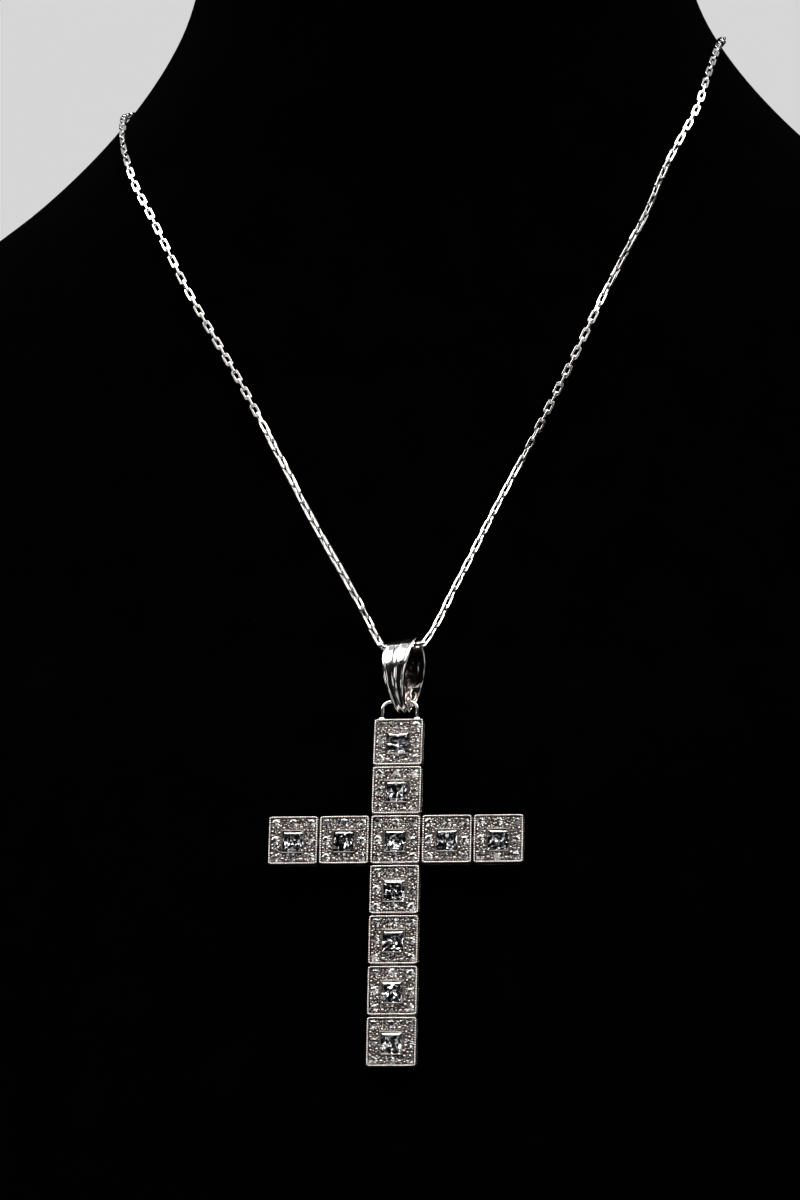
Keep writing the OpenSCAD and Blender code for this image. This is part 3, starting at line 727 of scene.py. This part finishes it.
def tile_shell(rng, with_loop):
    sh = Shell()
    grains = [(*frac(fx + rng.normal(0, .004), fz + rng.normal(0, .004)), r * rng.uniform(.86, 1.14), s) for fx, fz, r, s in GRAINS]
    pits = [(*frac(fx + rng.normal(0, .006), fz + rng.normal(0, .006)), r * rng.uniform(.8, 1.2)) for fx, fz, r in PITS]
    small = fine_grains(rng, grains)
    # side walls, rim rail and the back edge; the outer walls and rail are painted half dark as shade on the walls, the
    # inner walls a little
    band(sh, [(0.06, TT), (0.015, TT - 0.02), (0, TT - 0.08), (0, 1.5), (0, 0.26), (0.012, 0.17), (0.05, 0.10), (0.11, 0.065), (0.20, 0.06),
              (0.27, 0.085), (0.31, 0.14), (0.33, 0.22), (0.35, 0.5)], TW, TH, TR, painted_shade_and_tone=0.5)
    band(sh, [(WALL, 1.0), (WALL, TT - 0.05), (WALL - 0.05, TT), (0.06, TT)], TW, TH, TR, smooth=False, least=0.3, painted_shade_and_tone=0.15)
    # grained edge: small beads all round
    per = rounded(TW - 0.36, TH - 0.36, TR - 0.18, 9, 40)
    seg = np.linalg.norm(np.roll(per, -1, 0) - per, axis=1)
    cum = np.concatenate([[0], np.cumsum(seg)])
    loop = np.concatenate([per, per[:1]])
    count = 78
    for i in range(count):
        s = cum[-1] * (i + 0.5) / count
        x, z = np.interp(s, cum, loop[:, 0]), np.interp(s, cum, loop[:, 1])
        r = 0.168 * rng.uniform(0.92, 1.08)
        sh.add(GRAIN[0] * np.array([r, r * 0.8, r]) + np.array([x, 0.085, z]), GRAIN[1], True)
    # the set field, cut round the stones and grains, darkened with painted shade in its hollows
    out = rounded(TW - 2 * RIM, TH - 2 * RIM, 0.3, 5, 30)
    holes = [(x, z, r + 0.03) for x, z, r in ROUNDS]
    v, f = panel(out, holes, FRAME, 0.135, rng)
    bumps = grains + small
    y, recess_shade = carve(v, bumps, pits)
    sh.add(np.column_stack([v[:, 0], y, v[:, 1]]), [tuple(int(i) for i in t) for t in f], True, recess_shade)
    # stone seats: a cut cone and the open hole behind it, painted darker towards the hole as shade under the stone
    a = 2 * math.pi * np.arange(24) / 24
    for x, z, r in holes:
        rings, painted_shade_and_tone = [], []
        for rr, yy, seat_shade in ((r, None, 0.5), (r - 0.01, 0.36, 0.9), (r - 0.07, 0.42, 1.0), (0.46, 0.80, 1.0), (0.44, 1.0, 1.0)):
            q = np.column_stack([x + rr * np.cos(a), z + rr * np.sin(a)])
            d = carve(q, bumps, pits)[0] if yy is None else np.full(24, yy)
            rings.append(np.column_stack([q[:, 0], d, q[:, 1]]))
            painted_shade_and_tone.append(np.full(24, seat_shade))
        sh.add(np.concatenate(rings), grid_faces(len(rings), 24), True, np.concatenate(painted_shade_and_tone))
    # back of the plate inside the walls, painted a little dark as shade in the hollow back
    ob = rounded(TW - 2 * WALL, TH - 2 * WALL, 0.3, 5, 12)
    inner = [(x, z, 0.44) for x, z, r in ROUNDS if abs(x) + 0.44 < TW / 2 - WALL - 0.02 and abs(z) + 0.44 < TH / 2 - WALL - 0.02]
    vb, fb = panel(ob, inner, 1.3, 0.5, rng, 0.2)
    sh.add(np.column_stack([vb[:, 0], np.full(len(vb), 1.0), vb[:, 1]]), [tuple(int(i) for i in t[::-1]) for t in fb], False, 0.35)
    # raised grains, large and small, each a burnished dome
    for k, (gx, gz, r, st) in enumerate(bumps):
        big = k < len(grains)
        kit = BALL if big else GRAIN
        t = rng.uniform(-0.5, 0.5) if big else rng.uniform(0, math.pi)
        b = kit[0] * np.array([r * st, r * (1.1 if big else 1.4), r])
        b = np.column_stack([b[:, 0] * math.cos(t) - b[:, 2] * math.sin(t), b[:, 1], b[:, 0] * math.sin(t) + b[:, 2] * math.cos(t)])
        sh.add(b + np.array([gx, (0.17 if big else 0.19) + rng.uniform(-.04, .04), gz]), kit[1], True, rng.uniform(0, 0.25 if big else 0.7))
    # thin square edge that holds the stone, and the stone's seat under it; the seat is painted dark as shade under the
    # stone
    side = 2 * FRAME
    band(sh, [(0, 0.6), (0, 0.0), (0.012, -0.045)], side, side, 0.12, drop=LOW)
    band(sh, [(0.012, -0.045), (0.06, -0.085), (0.14, -0.09), (0.19, -0.06)], side, side, 0.12, painted_shade_and_tone=0.8, drop=LOW)
    band(sh, [(0.19, -0.06), (0.205, 0.06), (0.205, 0.2), (0.45, 0.75), (0.45, 1.0)],
         side, side, 0.12, smooth=False, painted_shade_and_tone=0.8, drop=LOW)
    # small beads along the side walls
    per = rounded(TW, TH, TR, 9, 40)
    seg = np.linalg.norm(np.roll(per, -1, 0) - per, axis=1)
    cum = np.concatenate([[0], np.cumsum(seg)])
    loop = np.concatenate([per, per[:1]])
    for i in range(66):
        q = cum[-1] * (i + 0.5) / 66
        r = 0.10 * rng.uniform(0.9, 1.1)
        sh.add(GRAIN[0] * r + np.array([np.interp(q, cum, loop[:, 0]) * 0.995, 1.35, np.interp(q, cum, loop[:, 1]) * 0.995]), GRAIN[1], True)
    if with_loop:
        wd, lw, lh, lr, yy = 0.62, 2.9, 3.2, 1.4, 0.8
        z0 = TH / 2 - 0.15
        pts = [(-lw, z0), (-lw, z0 + 0.5), (-lw, TH / 2 + lh - lr - 0.3)]
        pts += [(-(lw - lr) + lr * math.cos(q), TH / 2 + lh - lr + lr * math.sin(q)) for q in np.linspace(math.pi, math.pi / 2, 12)]
        pts += [(x, TH / 2 + lh) for x in (-0.8, 0, 0.8)]
        pts += [((lw - lr) + lr * math.cos(q), TH / 2 + lh - lr + lr * math.sin(q)) for q in np.linspace(math.pi / 2, 0, 12)]
        pts += [(lw, TH / 2 + lh - lr - 0.3), (lw, z0 + 0.5), (lw, z0)]
        wire(sh, [(x, yy, z) for x, z in pts], wd / 2, 20, up=(0, 1, 0), slot=1)
        for s in (-1, 1):
            # solder feet
            ring = []
            for k, (g, zz) in enumerate([(0.0, -0.1), (0.0, 0.28), (0.05, 0.36), (0.16, 0.42), (0.3, 0.44)]):
                q = rounded(0.95 - 2 * g, 0.9 - 2 * g, 0.12, 3, 2)
                ring.append(np.column_stack([q[:, 0] + s * lw, yy - q[:, 1], np.full(len(q), TH / 2 + zz)]))
            m = len(ring[0])
            sh.add(np.concatenate(ring), [f[::-1] for f in grid_faces(len(ring), m)] + [tuple(range((len(ring) - 1) * m, len(ring) * m))[::-1]], True)
    return sh


def round_cut(r):
    """Small round cut: an eight-sided table, eight crown facets and eight pavilion facets. Girdle at y 0."""
    v, f = [], []

    def ringpt(n, rr, y, off):
        k = len(v)
        for i in range(n):
            a = 2 * math.pi * (i + off) / n
            v.append((rr * math.cos(a), y, rr * math.sin(a)))
        return k

    T = ringpt(8, 0.56 * r, -0.29 * r, 0)
    G = ringpt(8, r, -0.02 * r, 0)
    H = ringpt(8, r, 0.03 * r, 0)
    K = len(v)
    v.append((0, 0.84 * r, 0))
    f.append(tuple(T + i for i in range(8)))
    for i in range(8):
        j = (i + 1) % 8
        f.append((T + i, G + i, G + j, T + j))
        f.append((G + i, H + i, H + j, G + j))
        f.append((H + i, K, H + j))
    return np.array(v), f


def princess(g, t, rng):
    """Square cut: table, star and bezel facets, thin girdle, and chevrons that meet in a point."""
    corner = [(-1, -1), (1, -1), (1, 1), (-1, 1)]
    v, f = [], []

    def put(x, y, z):
        v.append((x, y, z))
        return len(v) - 1

    T = [put(sx * t, -0.20, sz * t) for sx, sz in corner]
    G = [put(sx * g, 0.05, sz * g) for sx, sz in corner]
    H = [put(sx * g, 0.13, sz * g) for sx, sz in corner]
    K = put(rng.uniform(-0.1, 0.1), 1.86, rng.uniform(-0.1, 0.1))
    # ribs to the corners and middle lines, each cut a little off true by hand
    rib = [(0.52 + rng.uniform(-0.05, 0.05), 1.02 + rng.uniform(-0.07, 0.07)) for _ in range(4)]
    RIB = [put(corner[k][0] * g * rib[k][0], rib[k][1], corner[k][1] * g * rib[k][0]) for k in range(4)]
    f.append((T[0], T[1], T[2], T[3]))
    for i in range(4):
        j = (i + 1) % 4
        (ax, az), (bx, bz) = corner[i], corner[j]
        mx, mz = (ax + bx) / 2, (az + bz) / 2
        Y = put(mx * (t + g) / 2 * 1.005, -0.078, mz * (t + g) / 2 * 1.005)
        M = put(mx * g, 0.05, mz * g)
        N = put(mx * g, 0.13, mz * g)
        f += [(T[i], Y, T[j]), (T[i], G[i], Y), (T[j], Y, G[j]), (G[i], M, Y), (M, G[j], Y)]
        f += [(G[i], H[i], N, M), (M, N, H[j], G[j])]
        # chevrons: points along the middle line and on the ribs to the corners
        u, w = rng.uniform(-0.05, 0.05), rng.uniform(-0.05, 0.05)
        P = put(mx * g * (0.64 + u), 0.95 - w, mz * g * (0.64 + u))
        Q = put(mx * g * (0.31 + w), 1.52 + u, mz * g * (0.31 + w))
        RA, RB = RIB[i], RIB[j]
        ca = put(ax * g * 0.74 + mx * g * 0.24, 0.52, az * g * 0.74 + mz * g * 0.24)
        cb = put(bx * g * 0.74 + mx * g * 0.24, 0.52, bz * g * 0.74 + mz * g * 0.24)
        f += [(K, Q, RA), (K, RB, Q), (Q, P, RA), (Q, RB, P), (P, ca, RA), (P, RB, cb),
              (P, N, ca), (P, cb, N), (RA, ca, H[i]), (RB, H[j], cb), (ca, N, H[i]), (cb, H[j], N)]
    return np.array(v), f


def turn(p, angle, tilt_x=0.0, tilt_z=0.0):
    a = angle
    p = np.column_stack([p[:, 0] * math.cos(a) - p[:, 2] * math.sin(a), p[:, 1], p[:, 0] * math.sin(a) + p[:, 2] * math.cos(a)])
    p = np.column_stack([p[:, 0], p[:, 1] * math.cos(tilt_x) - p[:, 2] * math.sin(tilt_x), p[:, 1] * math.sin(tilt_x) + p[:, 2] * math.cos(tilt_x)])
    return np.column_stack([p[:, 0] * math.cos(tilt_z) - p[:, 1] * math.sin(tilt_z), p[:, 0] * math.sin(tilt_z) + p[:, 1] * math.cos(tilt_z), p[:, 2]])


def make_tile(name, seed):
    c, lean = PLACES[name]
    ca, sa = math.cos(rad(lean)), math.sin(rad(lean))

    def place(v):
        return np.column_stack([v[:, 0], v[:, 1] * ca + v[:, 2] * sa, -v[:, 1] * sa + v[:, 2] * ca]) + c

    rng = np.random.default_rng(seed)
    metal = tile_shell(rng, name == "1").build(f"tile_{name}_pave_plate", [M_TILE, M_BAIL] if name == "1" else M_TILE, place)
    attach(metal, "cross")
    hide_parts(f"tile_{name}")
    sh = Shell()
    for x, z, r in ROUNDS:
        v, f = round_cut(r)
        v = turn(v, rng.uniform(0, 0.8), rng.normal(0, 0.07), rng.normal(0, 0.07))
        sh.add(v + np.array([x, 0.215, z]), f, False)
    rounds = sh.build(f"tile_{name}_round_stones", M_SIDE, place)
    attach(rounds, "cross")
    sh = Shell()
    v, f = princess(1.7, 1.28, rng)
    v = turn(v, rng.normal(0, 0.012), rng.normal(0, 0.03), rng.normal(0, 0.03))
    sh.add(v - np.array([0, 0, LOW]), f, False)
    stone = sh.build(f"stone_{name}_square_cut", M_GEM, place)
    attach(stone, "cross")
    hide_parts(f"stone_{name}")


# ------------------------------------------------------------------ camera
T = np.array([1.5, -49.0, 122.7])
A8 = rad(8.0)
eye = T + 650 * np.array([math.sin(A8), -math.cos(A8), 0])
cam_data = bpy.data.cameras.new("camera")
cam_data.sensor_width = 36.0
cam_data.lens = 36.0 * 4017 / 1200
cam_data.clip_start, cam_data.clip_end = 0.02, 50
cam = bpy.data.objects.new("camera", cam_data)
scene.collection.objects.link(cam)
right = Vector((math.cos(A8), math.sin(A8), 0))
forward = Vector((-math.sin(A8), math.cos(A8), 0))
zup = Vector((0, 0, 1))
ro = rad(1.05)
ax = right * math.cos(ro) - zup * math.sin(ro)
ay = right * math.sin(ro) + zup * math.cos(ro)
rot = Matrix((ax, ay, -forward)).transposed().to_4x4()
cam.matrix_world = Matrix.Translation(Vector(eye * MM)) @ rot
scene.camera = cam

# ------------------------------------------------------------------ pieces
bust = make_bust()
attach(bust, "stand")
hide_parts("neck_bust")

chain_a, n_a = make_chain("chain_links_right_side", 0.35, AT_BAIL + 0.9, 0)
chain_b, n_b = make_chain("chain_links_left_side", AT_BAIL - 0.9 + 0.8, LENGTH[-1] - 0.35, n_a % 2)
for ob in (chain_a, chain_b):
    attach(ob, "stand")
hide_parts("chain")
clasp = make_clasp()
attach(clasp, "stand")
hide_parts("clasp")

bail = make_bail()
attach(bail, "bail")
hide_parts("bail")

for seed, name in enumerate(PLACES):
    make_tile(name, 100 + seed)
for name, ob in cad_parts.items():
    if name.startswith("link_"):
        ob.data.materials.clear()
        ob.data.materials.append(M_LINK)

# ------------------------------------------------------------------ floor, backdrop, light
def stage_material(name, colour, emit):
    m, nt, b = new_material(name)
    co = nt.nodes.new("ShaderNodeTexCoord")
    n = node(nt, "ShaderNodeTexNoise", Scale=3.0, Detail=2.0)
    nt.links.new(co.outputs["Object"], n.inputs["Vector"])
    lo = tuple(c * 0.97 for c in colour)
    r = ramp(nt, n.outputs["Fac"], [(0.3, lo), (0.7, colour)])
    nt.links.new(r.outputs["Color"], b.inputs["Base Color"])
    b.inputs["Roughness"].default_value = 0.9
    b.inputs["Specular IOR Level"].default_value = 0.1
    if emit:
        b.inputs["Emission Color"].default_value = (*colour, 1)
        b.inputs["Emission Strength"].default_value = emit
    return m


floor_mesh = bpy.data.meshes.new("floor")
k = 96
fv = [(0, 0, 0)] + [(4.6 * math.cos(2 * math.pi * i / k), 4.6 * math.sin(2 * math.pi * i / k), 0) for i in range(k)]
floor_mesh.from_pydata(fv, [], [(0, 1 + i, 1 + (i + 1) % k) for i in range(k)])
floor_mesh.materials.append(stage_material("pale_floor", (0.42, 0.42, 0.424), 0.0))
floor = bpy.data.objects.new("floor", floor_mesh)
floor.location.z = -0.0002
scene.collection.objects.link(floor)
floor.visible_glossy = False
floor.visible_transmission = False

dv, df = ball(64, 32)
dome_mesh = bpy.data.meshes.new("backdrop")
dome_mesh.from_pydata((dv * 4.7).tolist(), [], df)
dm, dnt, db = new_material("pale_backdrop")
dnt.nodes.remove(db)
em = dnt.nodes.new("ShaderNodeEmission")
em.inputs["Color"].default_value = (0.672, 0.672, 0.680, 1)
em.inputs["Strength"].default_value = 1.0
dnt.links.new(em.outputs["Emission"], dnt.nodes["Material Output"].inputs["Surface"])
dome_mesh.materials.append(dm)
dome = bpy.data.objects.new("backdrop", dome_mesh)
scene.collection.objects.link(dome)
dome.visible_glossy = False
dome.visible_diffuse = False
dome.visible_transmission = False
dome.visible_shadow = False
dome.visible_volume_scatter = False


def softbox(name, at, look, sx, sy, radiance, colour=(1, 1, 1)):
    d = bpy.data.lights.new(name, "AREA")
    d.shape = "RECTANGLE"
    d.size, d.size_y = sx, sy
    d.energy = radiance * math.pi * sx * sy
    d.color = colour
    o = bpy.data.objects.new(name, d)
    scene.collection.objects.link(o)
    o.location = at
    o.rotation_mode = "QUATERNION"
    o.rotation_quaternion = (Vector(look) - Vector(at)).to_track_quat("-Z", "Y")
    o.visible_camera = False
    return o


softbox("overhead_softbox", (-0.215, -0.205, 1.0), (-0.215, -0.205, 0.0), 2.13, 0.61, 6.7, (1.0, 0.985, 0.965))
softbox("back_card", (-0.30, 0.68, 1.0), (-0.30, 0.68, 0.0), 2.0, 1.12, 0.5, (0.97, 0.98, 1.0))
softbox("front_high_fill", (0.0, -0.72, 1.0), (0.0, -0.05, 0.1), 1.5, 0.26, 0.6, (1.0, 0.985, 0.96))
softbox("left_front_fill", (-0.63, -0.90, 0.52), (0.0, -0.05, 0.1), 0.50, 0.34, 1.7, (1.0, 0.98, 0.96))
softbox("right_front_fill", (0.55, -0.95, 0.48), (0.0, -0.05, 0.1), 0.42, 0.34, 1.7, (1.0, 0.975, 0.955))
softbox("left_side_card", (-1.2, 0.03, 0.09), (0.0, -0.02, 0.12), 0.34, 0.22, 1.8, (1.0, 0.985, 0.97))
softbox("right_side_card", (1.13, 0.32, 0.09), (0.03, -0.02, 0.17), 0.30, 0.15, 2.0, (1.0, 0.985, 0.97))
softbox("low_card", (0.2, -1.25, 0.14), (0.0, -0.05, 0.1), 1.0, 0.2, 0.9, (1.0, 0.975, 0.955))
softbox("table_card", (0.2, -0.38, 0.012), (0.2, -0.38, 1.0), 0.8, 0.3, 0.6, (1.0, 0.985, 0.97))

world = bpy.data.worlds.new("studio")
world.use_nodes = True
world.node_tree.nodes["Background"].inputs["Color"].default_value = (0.004, 0.004, 0.0042, 1)
world.node_tree.nodes["Background"].inputs["Strength"].default_value = 1.0
scene.world = world
scene.view_settings.view_transform = "Standard"
scene.view_settings.look = "None"
scene.view_settings.exposure = 0.0
scene.cycles.use_denoising = True
scene.cycles.max_bounces = 14
scene.cycles.transmission_bounces = 12
scene.cycles.glossy_bounces = 6
scene.cycles.sample_clamp_indirect = 8.0
